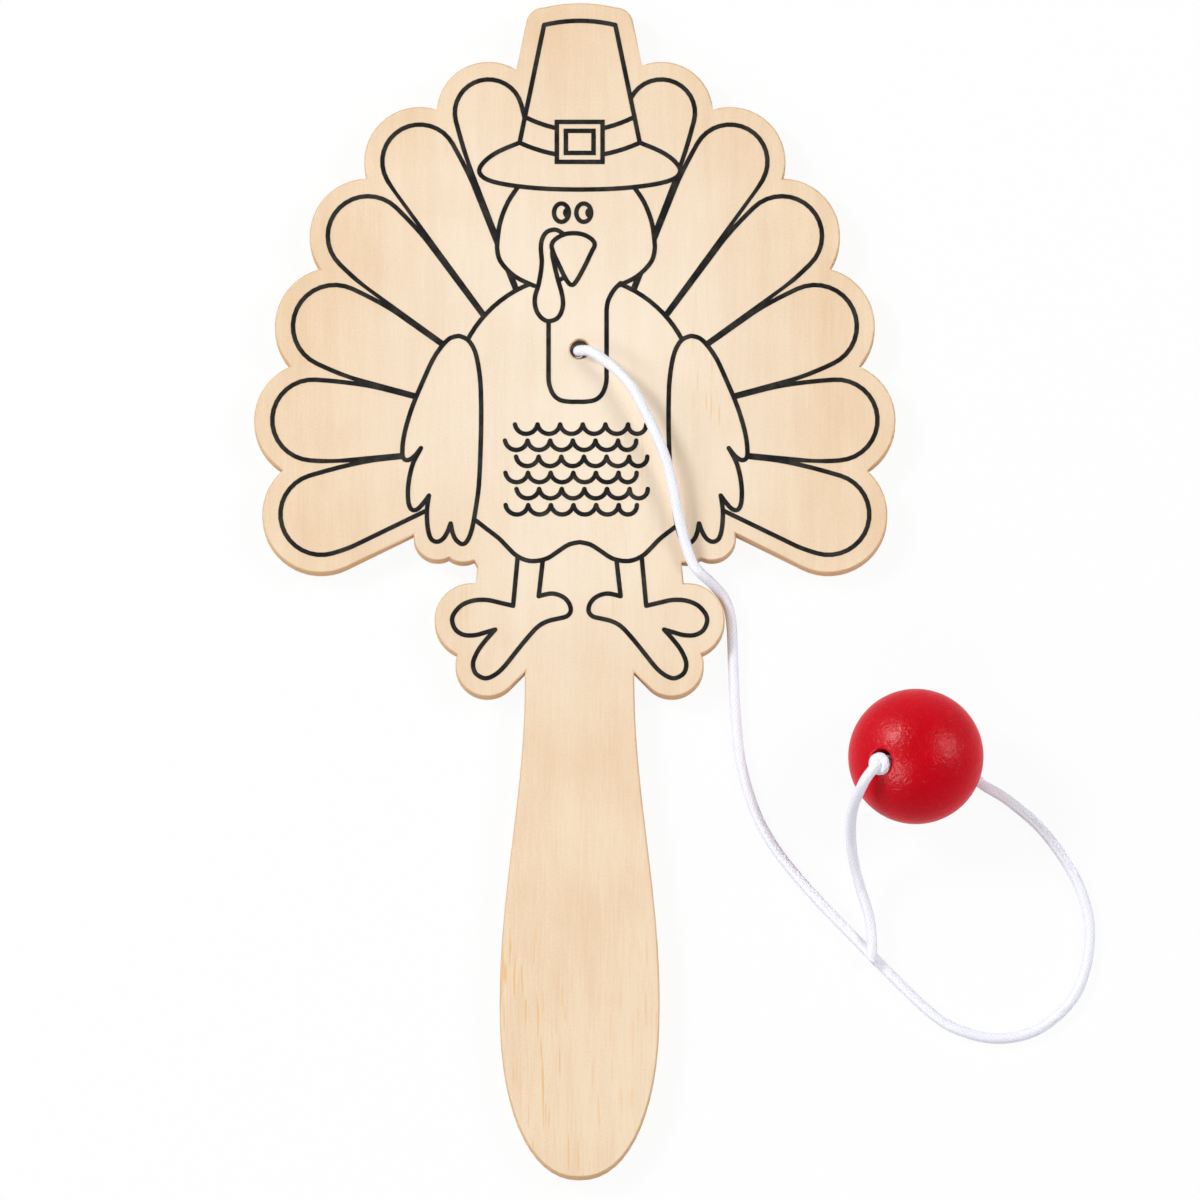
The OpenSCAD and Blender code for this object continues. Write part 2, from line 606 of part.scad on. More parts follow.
// A knot is a turn of cord with its core filled, and a stub that the free cord goes on from
module knot(turn_r, stub_l) {
  rotate_extrude() translate([turn_r, 0]) circle(d = cord_d, $fn = 24);
  cylinder(r = turn_r, h = cord_d * 0.7, center = true);
  cylinder(d = cord_d, h = stub_l);
}
module stopper_knot() {
  base = recess_l - cord_d / 2 - knot_gap;
  color("#f2f1f6") translate([cord_route[0].x, cord_route[0].y, base])
    knot(cord_d * 0.85, recess_l - base);
}
module at_ball() {
  translate([ball_x, ball_y, ball_d / 2]) rotate([0, ball_lean, ball_turn]) children();
}
module ball_knot() {
  seat = ball_d / 2 + cord_d * 0.3;
  color("#f2f1f6") at_ball() translate([0, 0, seat]) rotate([180, 0, 0])
    knot(cord_d * 0.8, seat - knot_floor);
}
module cord() {
  color("#efeef5") tube(curve(cord_route, 2), cord_d, cord_sides);
}
module cord_tail() {
  color("#efeef5") tube(curve(tail_route, 2), cord_d, cord_sides);
}
module ball() {
  mouth = sqrt(pow(ball_d, 2) - pow(bore_d, 2)) / 2;
  color("#c4161f") at_ball() difference() {
    sphere(d = ball_d, $fn = 96);
    cylinder(d = bore_d, h = ball_d + 2 * hair, center = true);
    for (end = [0, 180]) rotate([end, 0, 0]) translate([0, 0, mouth - bore_ease])
      cylinder(d1 = bore_d, d2 = bore_d + 4 * bore_ease, h = 2 * bore_ease);
  }
}

front_ply();
core_ply();
back_ply();
tail_print();
hat_print();
head_print();
body_print();
wing_print();
feet_print();
stopper_knot();
cord();
ball_knot();
cord_tail();
ball();
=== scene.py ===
import math

import bmesh
import bpy
import numpy as np
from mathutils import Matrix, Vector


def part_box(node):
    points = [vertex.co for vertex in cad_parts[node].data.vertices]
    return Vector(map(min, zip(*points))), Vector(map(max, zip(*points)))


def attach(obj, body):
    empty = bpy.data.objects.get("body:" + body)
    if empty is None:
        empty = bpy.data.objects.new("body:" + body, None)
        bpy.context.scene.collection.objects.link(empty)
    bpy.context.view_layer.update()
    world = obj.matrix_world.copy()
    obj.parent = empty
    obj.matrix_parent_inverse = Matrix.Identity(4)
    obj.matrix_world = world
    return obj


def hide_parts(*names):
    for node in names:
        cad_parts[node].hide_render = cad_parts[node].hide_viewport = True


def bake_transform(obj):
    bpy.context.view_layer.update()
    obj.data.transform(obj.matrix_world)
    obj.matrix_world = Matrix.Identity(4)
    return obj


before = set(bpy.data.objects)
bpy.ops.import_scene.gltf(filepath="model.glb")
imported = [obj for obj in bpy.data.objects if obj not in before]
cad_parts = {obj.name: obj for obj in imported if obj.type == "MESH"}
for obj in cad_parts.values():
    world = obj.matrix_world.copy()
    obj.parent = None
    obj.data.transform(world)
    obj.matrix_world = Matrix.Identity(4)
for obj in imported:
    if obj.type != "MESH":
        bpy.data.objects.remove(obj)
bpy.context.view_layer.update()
scene = bpy.context.scene
scene.view_settings.view_transform = "Standard"
mm = 0.001
print("frame loaded:", len(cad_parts), "nodes")

cameraView = {
    "lookAt": (3.82 * mm, -47.6 * mm, 5.0 * mm),    # the middle of the picture, on the printed face
    "tilt": 8.03,                # degrees back from straight above
    "lens": 1200.0,              # far off, as the photo shows no near and far sizes
    "sensor": 36.0,              # in millimetres, as the lens is
    "frameWidth": 225.2 * mm,    # what the square picture spans at that distance
    "clip": (0.1, 30.0),
}


def addCamera(view):
    cam = bpy.data.cameras.new("viewCamera")
    cam.lens = view["lens"]
    cam.sensor_width = view["sensor"]
    cam.sensor_fit = "HORIZONTAL"
    cam.clip_start, cam.clip_end = view["clip"]
    obj = bpy.data.objects.new("viewCamera", cam)
    scene.collection.objects.link(obj)
    away = view["frameWidth"] * view["lens"] / cam.sensor_width
    tilt = math.radians(view["tilt"])
    x, y, z = view["lookAt"]
    obj.location = (x, y - away * math.sin(tilt), z + away * math.cos(tilt))
    obj.rotation_euler = (tilt, 0.0, 0.0)
    scene.camera = obj


addCamera(cameraView)


# A smooth line through given points: each stretch is the cubic that leaves a point along the
# direction from the one before it to the one after it. It is then cut into steps of equal length.
def smoothLine(points, step, samples=40):
    p = np.asarray(points, float)
    p = np.vstack([p[:1], p, p[-1:]])
    spans = len(p) - 3
    t = np.linspace(0.0, spans, spans * samples + 1)
    i = np.minimum(t.astype(int), spans - 1)
    f = (t - i)[:, None]
    a, b, c, d = p[i], p[i + 1], p[i + 2], p[i + 3]
    line = 0.5 * (2 * b + (c - a) * f + (2 * a - 5 * b + 4 * c - d) * f**2 + (3 * b - a - 3 * c + d) * f**3)
    run = np.concatenate([[0.0], np.cumsum(np.linalg.norm(np.diff(line, axis=0), axis=1))])
    even = np.linspace(0.0, run[-1], max(int(round(run[-1] / step)), 8) + 1)
    return np.stack([np.interp(even, run, line[:, k]) for k in range(3)], axis=1), even


# A grid of points as a mesh: neighbours in both directions make a quad, and the second direction
# may close on itself. Flat discs close the two open ends when asked.
def gridMesh(name, grid, closedAcross=True, caps=False, uv=None, weave=None):
    rows, cols = grid.shape[:2]
    index = np.arange(rows * cols).reshape(rows, cols)
    across = np.roll(index, -1, axis=1) if closedAcross else index[:, 1:]
    here = index if closedAcross else index[:, :-1]
    quads = np.stack([here[:-1], across[:-1], across[1:], here[1:]], axis=-1).reshape(-1, 4)
    verts = grid.reshape(-1, 3)
    loops = quads.ravel()
    starts = np.arange(len(quads)) * 4
    if caps:
        loops = np.concatenate([loops, index[0][::-1], index[-1]])
        starts = np.concatenate([starts, [len(quads) * 4, len(quads) * 4 + cols]])
    mesh = bpy.data.meshes.new(name)
    mesh.vertices.add(len(verts))
    mesh.vertices.foreach_set("co", verts.astype(np.float32).ravel())
    mesh.loops.add(len(loops))
    mesh.loops.foreach_set("vertex_index", loops.astype(np.int32))
    mesh.polygons.add(len(starts))
    mesh.polygons.foreach_set("loop_start", starts.astype(np.int32))
    mesh.update(calc_edges=True)
    if uv is not None:
        layer = mesh.uv_layers.new(name="along")
        r, c = loops // cols, loops % cols
        u, v = uv[0][c], uv[1][r]
        n = len(quads)
        corner = c[: 4 * n].reshape(n, 4)
        wrap = (corner.max(1) - corner.min(1) > 1)[:, None] & (corner == 0)   # the seam's far side
        u[: 4 * n] = np.where(wrap, 1.0, u[: 4 * n].reshape(n, 4)).ravel()
        layer.data.foreach_set("uv", np.stack([u, v], axis=1).astype(np.float32).ravel())
    if weave is not None:
        strand = mesh.attributes.new("weave", "FLOAT", "POINT")
        strand.data.foreach_set("value", weave.astype(np.float32).ravel())
    mesh.polygons.foreach_set("use_smooth", np.ones(len(mesh.polygons), bool))
    mesh.validate()
    obj = bpy.data.objects.new(name, mesh)
    scene.collection.objects.link(obj)
    return obj


# A round tube carried along a line. At each step the line's direction and a side direction span the
# ring. The side leans from a first guide direction to a later one, so that it never lies along the line.
# The radius is the plain one plus the weave: two sets of strands wind opposite ways, and on each
# square of the pattern one of them is on top, highest along its own middle. A cut shears the last
# stretch along the line, in step with how far each point lies to one side. The pattern on the mesh
# counts once round the cord, and along it in lengths of its girth.
def braidedTube(name, line, run, braid, guides, cut=None):
    sides = braid["sides"]
    along = np.gradient(line, axis=0)
    along /= np.linalg.norm(along, axis=1, keepdims=True)
    leave, reach = guides["between"]
    k = np.clip((run - leave) / (reach - leave), 0, 1)[:, None]
    k = k * k * (3 - 2 * k)
    guide = np.asarray(guides["first"], float) * (1 - k) + np.asarray(guides["later"], float) * k
    side = guide - (guide * along).sum(1, keepdims=True) * along
    side /= np.linalg.norm(side, axis=1, keepdims=True)
    up = np.cross(along, side)
    turn = np.arange(sides) / sides
    lap = run[:, None] / braid["pitch"]
    a = turn[None, :] * braid["strands"] + lap
    b = turn[None, :] * braid["strands"] - lap
    aOver = (np.floor(a) + np.floor(b)) % 2 < 0.5
    bulge = np.where(aOver, 1 - (2 * (a % 1) - 1) ** 2, 1 - (2 * (b % 1) - 1) ** 2)
    radius = braid["diameter"] / 2 - braid["relief"] * (1 - bulge)
    c, s = np.cos(2 * np.pi * turn), np.sin(2 * np.pi * turn)
    ring = side[:, None, :] * c[None, :, None] + up[:, None, :] * s[None, :, None]
    grid = line[:, None, :] + ring * radius[:, :, None]
    if cut:
        share = np.clip(1 - (run[-1] - run) / cut["reach"], 0, 1)[:, None] ** 2
        grid = grid + (share * (ring @ cut["across"]) * radius * cut["slope"])[..., None] * along[:, None, :]
    return gridMesh(name, grid, caps=True, uv=(turn, run / braid["diameter"] / math.pi), weave=bulge)


# A profile turned about an axis: each point keeps its height along the axis and its distance from it.
def turned(name, profile, centre, axis, steps):
    axis = np.asarray(axis, float) / np.linalg.norm(axis)
    side = np.cross(axis, [0.0, 1.0, 0.0])
    side /= np.linalg.norm(side)
    other = np.cross(axis, side)
    angle = np.arange(steps) / steps * 2 * np.pi
    around = np.cos(angle)[:, None] * side + np.sin(angle)[:, None] * other
    grid = (np.asarray(centre, float) + profile[:, None, 1:2] * axis[None, None, :]
            + profile[:, None, 0:1] * around[None, :, :])
    return gridMesh(name, grid)


cordSpec = {
    "sides": 40,
    "diameter": 2.0 * mm,
    "strands": 7,           # in each of the two directions
    "pitch": 1.0 * mm,      # how far along the cord one strand crosses the next
    "relief": 0.055 * mm,   # from the top of a strand down to the seam between two
    "step": 0.16 * mm,      # along the cord from one ring of the mesh to the next
}
# The cord's way from the knot behind the board, out of the hole, over the board and round to the ball
cordRoute = [
    (-0.3, -0.3, 3), (-0.3, -0.3, 3.5), (-0.3, -0.3, 4), (0, -0.35, 5.5), (0.8, -0.5, 6.8),
    (2.3, -0.9, 7.7), (4.4, -2.4, 8.2), (7.8, -5.4, 8.8), (11, -9.9, 9.4), (16, -21, 9),
    (18.8, -33.1, 7.6), (20.1, -37.8, 6.9), (21.2, -40.8, 6.5), (22.6, -42.6, 6.1), (24.5, -44.1, 4.7),
    (26, -45.5, 3.2), (27.2, -47, 2.1), (28.2, -49.5, 1.3), (28.6, -53, 1), (28.9, -62, 1), (29.3, -69, 1),
    (30.5, -79.1, 1), (34.3, -90.1, 1), (41.6, -100.4, 1), (55.2, -114.8, 1), (66.2, -125.5, 1),
    (73, -129.1, 1), (80, -130, 1), (87.1, -127.7, 1), (93.3, -121.2, 1), (95.7, -111, 1),
    (93.7, -101.3, 1), (87.7, -91.7, 1), (80.8, -85.3, 1), (75, -81.5, 1), (72.3, -77.5, 1.1),
    (70.2, -75.9, 2), (67.8, -76.7, 5.2), (63, -78.3, 12.7), (57, -80.4, 22.1),
]
tailRoute = [
    (54.8, -82.3, 23.8), (53.1, -84.7, 22.6), (51.1, -89, 16.5), (50.9, -94.5, 9.6), (52.3, -101, 5),
    (54.2, -107, 3.2), (54.8, -112, 3), (54.7, -114.3, 3.1), (54.5, -115.7, 3.2),
]
tailCut = {"across": (1, 0, 0), "slope": 0.85, "reach": 2.6 * mm}   # the free end is cut aslant
cordGuides = {"first": (1, 0, 0), "later": (0, 0, 1), "between": (3 * mm, 12 * mm)}
tailGuides = {"first": (0.3, -1, 1), "later": (1, 0, 0.3), "between": (3 * mm, 9 * mm)}

cordLine, cordRun = smoothLine(np.array(cordRoute) * mm, cordSpec["step"])
tailLine, tailRun = smoothLine(np.array(tailRoute) * mm, cordSpec["step"])
cordLine[:, 2] = np.maximum(cordLine[:, 2], cordSpec["diameter"] / 2)   # it lies on the floor, not in it
cord = braidedTube("cordFree", cordLine, cordRun, cordSpec, cordGuides)
tail = braidedTube("cordTail", tailLine, tailRun, cordSpec, tailGuides, tailCut)
print("cord laid:", round(cordRun[-1] / mm, 1), "mm, tail", round(tailRun[-1] / mm, 1), "mm")

ballSpec = {
    "centre": (63 * mm, -78.3 * mm, 12.7 * mm),
    "diameter": 25.4 * mm,
    "bore": 4.3 * mm,
    "mouthRound": 0.55 * mm,
    "lean": 34.0,            # degrees of the bore's upper end from upright
    "heading": 199.0,        # degrees round from +X that this end points to
    "mergeWithin": 1e-4 * mm,
    "steps": 160,            # round the bore's axis
    "wallSteps": 10,
    "mouthSteps": 9,
    "globeSteps": 60,
}
lean, heading = math.radians(ballSpec["lean"]), math.radians(ballSpec["heading"])
boreAxis = np.array([math.sin(lean) * math.cos(heading), math.sin(lean) * math.sin(heading), math.cos(lean)])

# Each knot is the cord tied round itself, through points from the knot's middle: to the right, up in
# the picture and towards the viewer
ballKnotSpec = {
    "turn": [(0.7, 0.2, -2.6), (1.15, 0.5, -1.5), (1.25, 0.1, -0.75), (0.8, -1.0, -0.55), (-0.4, -1.1, -0.5),
             (-1.2, -0.2, -0.15), (-0.95, 0.75, 0.3), (0.0, 1.15, 0.45), (0.75, 0.6, 0.5), (0.8, -0.4, 0.35),
             (0.35, -1.15, 0.0), (-0.35, -0.7, -0.5), (-0.2, 0.0, -0.1), (-0.55, -0.05, 0.75),
             (-1.0, -0.75, 0.8), (-1.55, -1.6, 0.4)],
    "centre": (56.2 * mm, -81.1 * mm, 23.3 * mm),
    "squeeze": 0.92,         # the cord is drawn thinner where it is tied
}
# The other end, drawn tight in the recess behind the board
stopperSpec = {
    "turn": [(0, 0, 1.6), (0.1, 0, 0.8), (0.9, 0.4, 0.2), (1.2, 1.3, -0.15), (0.2, 1.75, -0.2),
             (-1.1, 1.2, 0.1), (-1.5, 0.0, 0.2), (-1.0, -1.2, 0.15), (0.3, -1.6, 0.0), (1.5, -0.8, -0.3),
             (1.2, 0.2, -0.45), (0.0, 0.4, -0.5), (-1.2, 0.3, -0.45), (-1.9, -0.3, -0.3)],
    "squeeze": 0.72,
    "centre": (-0.3 * mm, -0.3 * mm, 1.4 * mm),
}
# no turn of either knot runs along this direction
knotGuides = {"first": (0.35, 0.2, 0.9), "later": (0.35, 0.2, 0.9), "between": (0, 1)}


def tiedKnot(name, spec):
    route = np.array(spec["turn"]) * mm + np.asarray(spec["centre"])
    line, run = smoothLine(route, cordSpec["step"])
    drawnCord = dict(cordSpec, diameter=cordSpec["diameter"] * spec["squeeze"])
    return braidedTube(name, line, run, drawnCord, knotGuides)


ballKnot = tiedKnot("ballKnot", ballKnotSpec)
stopper = tiedKnot("stopperKnot", stopperSpec)

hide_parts("cord")
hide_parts("cord_tail")
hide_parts("ball_knot")
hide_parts("stopper_knot")
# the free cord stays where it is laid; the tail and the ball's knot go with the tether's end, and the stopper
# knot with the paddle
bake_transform(cord)
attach(tail, "tether_end")
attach(ballKnot, "tether_end")
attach(stopper, "paddle")
print("knots tied")


# Half of the outline from the middle of the bore to the ball's equator, mirrored for the other half:
# up the bore's wall, round the eased mouth, and over the sphere.
def ballOutline(spec):
    r, b, e = spec["diameter"] / 2, spec["bore"] / 2, spec["mouthRound"]
    roundR = b + e                                     # where the eased edge's centre stands
    roundZ = math.sqrt((r - e) ** 2 - roundR**2)
    wall = np.linspace(0, 1, spec["wallSteps"])[:-1, None] * [0, roundZ] + [b, 0]
    leave = math.atan2(roundR, roundZ)                 # angle from the axis where the edge meets the sphere
    bend = np.linspace(math.pi, math.pi / 2 - leave, spec["mouthSteps"])
    edge = np.stack([roundR + e * np.cos(bend), roundZ + e * np.sin(bend)], axis=1)
    sweep = np.linspace(leave, math.pi / 2, spec["globeSteps"])[1:]
    globe = np.stack([r * np.sin(sweep), r * np.cos(sweep)], axis=1)
    half = np.vstack([wall, edge, globe])
    return np.vstack([half, half[-2:0:-1] * [1, -1], half[:1]])[::-1]


ball = turned("ballShell", ballOutline(ballSpec), ballSpec["centre"], boreAxis, ballSpec["steps"])
bm = bmesh.new()
bm.from_mesh(ball.data)
bmesh.ops.remove_doubles(bm, verts=bm.verts, dist=ballSpec["mergeWithin"])
bmesh.ops.recalc_face_normals(bm, faces=bm.faces)
bm.to_mesh(ball.data)
bm.free()
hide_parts("ball")
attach(ball, "ball")
print("ball turned")

boardSpec = {
    "easing": 0.85 * mm,      # how far the sanded edge is rounded
    "segments": 4,
    "mergeWithin": 0.002 * mm,
    "flatWithin": 0.5,        # degrees between facets that are merged
    "sharpFrom": 35.0,        # degrees at an edge that is shaded sharp
    "edgeFrom": 1.0,          # least angle at the rim of a face, in radians
}


# The CAD ply, merged, with its outer edge on one face marked for a rounded bevel
def easedPly(name, cadNode, faceHeight):
    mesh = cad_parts[cadNode].data.copy()
    mesh.name = name
    bm = bmesh.new()
    bm.from_mesh(mesh)
    bmesh.ops.remove_doubles(bm, verts=bm.verts, dist=boardSpec["mergeWithin"])
    flatAngle = math.radians(boardSpec["flatWithin"])
    bmesh.ops.dissolve_limit(bm, angle_limit=flatAngle, verts=bm.verts, edges=bm.edges)
    weight = bm.edges.layers.float.new("bevel_weight_edge")
    for e in bm.edges:
        onFace = all(abs(v.co.z - faceHeight) < boardSpec["mergeWithin"] / 2 for v in e.verts)
        if onFace and len(e.link_faces) == 2 and e.calc_face_angle() > boardSpec["edgeFrom"]:
            e[weight] = 1.0
    bm.to_mesh(mesh)
    bm.free()
    mesh.polygons.foreach_set("use_smooth", np.ones(len(mesh.polygons), bool))
    mesh.set_sharp_from_angle(angle=math.radians(boardSpec["sharpFrom"]))
    obj = bpy.data.objects.new(name, mesh)
    scene.collection.objects.link(obj)
    bevel = obj.modifiers.new("easedEdge", "BEVEL")
    bevel.width = boardSpec["easing"]
    bevel.segments = boardSpec["segments"]
    bevel.limit_method = "WEIGHT"
    bevel.harden_normals = True
    bevel.miter_outer = "MITER_ARC"
    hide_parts(cadNode)
    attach(obj, "paddle")
    return obj


frontPly = easedPly("frontPly", "front_ply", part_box("front_ply")[1].z)
backPly = easedPly("backPly", "back_ply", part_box("back_ply")[0].z)
print("plies eased")


def newMaterial(name):
    mat = bpy.data.materials.new(name)
    mat.use_nodes = True
    tree = mat.node_tree
    tree.nodes.clear()
    out = tree.nodes.new("ShaderNodeOutputMaterial")
    shader = tree.nodes.new("ShaderNodeBsdfPrincipled")
    tree.links.new(shader.outputs[0], out.inputs["Surface"])
    return mat, tree, shader


def node(tree, kind, inputs=(), **settings):
    n = tree.nodes.new("ShaderNode" + kind)
    for key, value in settings.items():
        setattr(n, key, value)
    for key, value in dict(inputs).items():
        if isinstance(value, bpy.types.NodeSocket):
            tree.links.new(value, n.inputs[key])
        else:
            n.inputs[key].default_value = value
    return n


def maths(tree, operation, a, b=None, c=None, clamp=False):
    values = {i: v for i, v in enumerate((a, b, c)) if v is not None}
    return node(tree, "Math", values, operation=operation, use_clamp=clamp).outputs[0]


def mixColour(tree, factor, a, b):
    n = tree.nodes.new("ShaderNodeMix")
    n.data_type = "RGBA"
    for socket, value in ((n.inputs[0], factor), (n.inputs[6], a), (n.inputs[7], b)):
        if isinstance(value, bpy.types.NodeSocket):
            tree.links.new(value, socket)
        else:
            socket.default_value = value
    return n.outputs[2]


def ramp(tree, factor, stops):
    n = tree.nodes.new("ShaderNodeValToRGB")
    tree.links.new(factor, n.inputs[0])
    while len(n.color_ramp.elements) < len(stops):
        n.color_ramp.elements.new(0.5)
    for element, (place, colour) in zip(n.color_ramp.elements, stops):
        element.position = place
        element.color = (*colour, 1.0)
    return n.outputs[0]


grainSpec = {
    # repeats in a metre across and along the fibres, detail, roughness, and place on the fourth axis
    "bands": (260, 26, 3.0, 0.6, 0.0),
    "fibres": (2400, 110, 2.0, 0.6, 3.0),
    "flecks": (2100, 125, 0.0, 0.4, 7.0),
    "patches": (55, 25, 1.0, 0.5, 11.0),       # where the flecks gather
    "fleckCut": (13.0, -8.75),                 # gain and offset that keep only the highest flecks
    "patchCut": (6.0, -3.5),
    "fleckDepth": -0.8,                        # against the height of a fibre
    # the grip has more of everything: from none at the first place along Y to all of it at the second
    "gripFrom": -60 * mm,
    "gripTo": -110 * mm,
    "gripBands": 0.2,
    "gripFibres": 0.45,
    "plainFibres": 0.75,
    "gripFlecks": 1.4,
}


# Fibres that run along Y: a stretched noise for the bands, a finer one for the single fibres, and
# short thin flecks where a much stretched noise is near its highest
def makeGrainGroup(spec):
    group = bpy.data.node_groups.new("birchGrain", "ShaderNodeTree")
    face = group.interface
    face.new_socket("Place", in_out="INPUT", socket_type="NodeSocketVector")
    face.new_socket("Shift", in_out="INPUT", socket_type="NodeSocketFloat")
    for name in ("Bands", "Fibres", "Flecks", "Height"):
        face.new_socket(name, in_out="OUTPUT", socket_type="NodeSocketFloat")
    ends, outs = group.nodes.new("NodeGroupInput"), group.nodes.new("NodeGroupOutput")

    def stretched(across, along, detail, rough, fourth):
        m = node(group, "Mapping", {"Vector": ends.outputs["Place"], "Scale": (across, along, across)})
        w = maths(group, "ADD", ends.outputs["Shift"], fourth)
        return node(group, "TexNoise", {"Vector": m.outputs[0], "W": w, "Scale": 1.0, "Detail": detail,
                                        "Roughness": rough, "Distortion": 0.15},
                    noise_dimensions="4D").outputs[0]

    y = node(group, "SeparateXYZ", {0: ends.outputs["Place"]}).outputs[1]
    reach = spec["gripTo"] - spec["gripFrom"]
    grip = maths(group, "MULTIPLY_ADD", y, 1 / reach, -spec["gripFrom"] / reach, clamp=True)
    bands = maths(group, "MULTIPLY_ADD", grip, spec["gripBands"], stretched(*spec["bands"]))
    fibres = maths(group, "SUBTRACT", stretched(*spec["fibres"]), 0.5)
    strength = maths(group, "MULTIPLY_ADD", grip, spec["gripFibres"], spec["plainFibres"])
    fibres = maths(group, "MULTIPLY", fibres, strength)
    flecks = maths(group, "MULTIPLY_ADD", stretched(*spec["flecks"]), *spec["fleckCut"], clamp=True)
    where = maths(group, "MULTIPLY_ADD", stretched(*spec["patches"]), *spec["patchCut"])
    where = maths(group, "MULTIPLY_ADD", grip, spec["gripFlecks"], where, clamp=True)
    flecks = maths(group, "MULTIPLY", flecks, where)
    height = maths(group, "MULTIPLY_ADD", flecks, spec["fleckDepth"], fibres)
    for name, value in (("Bands", bands), ("Fibres", fibres), ("Flecks", flecks), ("Height", height)):
        group.links.new(value, outs.inputs[name])
    return group


grainGroup = makeGrainGroup(grainSpec)
woodSpec = {
    "pale": (0.912, 0.727, 0.519),
    "warm": (0.824, 0.593, 0.378),
    "fleck": (0.85, 0.49, 0.175),
    "fleckShare": 0.72,
    "edge": (0.64, 0.35, 0.135),     # cut wood is darker than the face, and the tint also paints shade on the rounded edge as it turns away from upright
    "edgeShare": 0.62,
    "edgePower": 12.0,
    "litPool": (0.95, 0.82, 0.66),     # painted light: a paler pool about the middle of the board
    "litPoolShare": 0.62,
    "litPoolTone": 0.4,                # more of it where the wood is pale anyway
    "litPoolMiddle": (0.0, -8 * mm),
    "litPoolReach": (47 * mm, 69 * mm),
    # how much each pattern pulls the tone between warm and pale: gain and offset
    "cloudTone": (1.8, -0.52),
    "bandTone": (1.3, -0.6),
    "dustTone": (0.8, -0.4),
    "cloudScale": 42.0,
    "dustScale": 2400.0,
    "roughness": 0.6,
    "fibreRoughness": 0.12,
    "fibreDepth": 0.08 * mm,
    "fibreStrength": 0.3,
    "specular": 0.08,
    "shift": 0.0,                    # each ply is cut from another place in the grain
}
backSpec = dict(woodSpec, shift=21.0)
coreSpec = dict(woodSpec, shift=47.0, edgeShare=0.7, pale=(0.78, 0.55, 0.34), warm=(0.70, 0.46, 0.26))


def placedGrain(tree, place, shift):
    grain = tree.nodes.new("ShaderNodeGroup")
    grain.node_tree = grainGroup
    tree.links.new(place, grain.inputs["Place"])
    grain.inputs["Shift"].default_value = shift
    return grain.outputs


# One less the squared distance from the middle of an ellipse in X and Y, and none outside it
def insideEllipse(tree, place, middle, reach):
    apart = node(tree, "SeparateXYZ", {0: place}).outputs
    squares = []
    for i in (0, 1):
        off = maths(tree, "MULTIPLY_ADD", apart[i], 1 / reach[i], -middle[i] / reach[i])
        squares.append(maths(tree, "POWER", off, 2.0))
    return maths(tree, "SUBTRACT", 1.0, maths(tree, "ADD", *squares), clamp=True)


def woodMaterial(name, spec):
    mat, tree, shader = newMaterial(name)
    place = node(tree, "TexCoord").outputs["Object"]
    grain = placedGrain(tree, place, spec["shift"])
    cloud = node(tree, "TexNoise", {"Vector": place, "W": spec["shift"], "Scale": spec["cloudScale"],
                                    "Detail": 4.0, "Roughness": 0.6}, noise_dimensions="4D").outputs[0]
    dust = node(tree, "TexNoise", {"Vector": place, "Scale": spec["dustScale"], "Detail": 1.0}).outputs[0]
    tone = maths(tree, "MULTIPLY_ADD", cloud, *spec["cloudTone"])
    tone = maths(tree, "ADD", tone, maths(tree, "MULTIPLY_ADD", grain["Bands"], *spec["bandTone"]))
    tone = maths(tree, "ADD", tone, grain["Fibres"])
    tone = maths(tree, "ADD", tone, maths(tree, "MULTIPLY_ADD", dust, *spec["dustTone"]), clamp=True)
    base = mixColour(tree, tone, (*spec["warm"], 1), (*spec["pale"], 1))
    # painted light: paler wood inside an ellipse about the middle of the board
    near = insideEllipse(tree, place, spec["litPoolMiddle"], spec["litPoolReach"])
    share = maths(tree, "MULTIPLY_ADD", tone, spec["litPoolTone"], spec["litPoolShare"])
    base = mixColour(tree, maths(tree, "MULTIPLY", near, share, clamp=True), base, (*spec["litPool"], 1))
    share = maths(tree, "MULTIPLY", grain["Flecks"], spec["fleckShare"])
    base = mixColour(tree, share, base, (*spec["fleck"], 1))
    # darker as the surface turns from upright: the cut sides' own colour, and painted shade on the rounded
    # edge
    facing = node(tree, "SeparateXYZ", {0: node(tree, "NewGeometry").outputs["Normal"]}).outputs[2]
    level = maths(tree, "POWER", maths(tree, "ABSOLUTE", facing), spec["edgePower"])
    sideways = maths(tree, "MULTIPLY_ADD", level, -spec["edgeShare"], spec["edgeShare"], clamp=True)
    base = mixColour(tree, sideways, base, (*spec["edge"], 1))
    tree.links.new(base, shader.inputs["Base Color"])
    rough = maths(tree, "MULTIPLY_ADD", grain["Fibres"], spec["fibreRoughness"], spec["roughness"])
    tree.links.new(rough, shader.inputs["Roughness"])
    bump = node(tree, "Bump", {"Strength": spec["fibreStrength"], "Distance": spec["fibreDepth"],
                               "Height": grain["Height"]})
    tree.links.new(bump.outputs[0], shader.inputs["Normal"])
    shader.inputs["Specular IOR Level"].default_value = spec["specular"]
    return mat


inkSpec = {
    "full": (0.0015, 0.0015, 0.0015),
    "thin": (0.034, 0.029, 0.023),       # where the screen left less of it
    "patchScale": 260.0,
    "patchFrom": 0.42,
    "patchTo": 0.68,
    "roughness": 0.45,
    "patchRoughness": 0.3,
    "fibreDepth": 0.06 * mm,
    "fibreStrength": 0.2,
    "specular": 0.03,
}


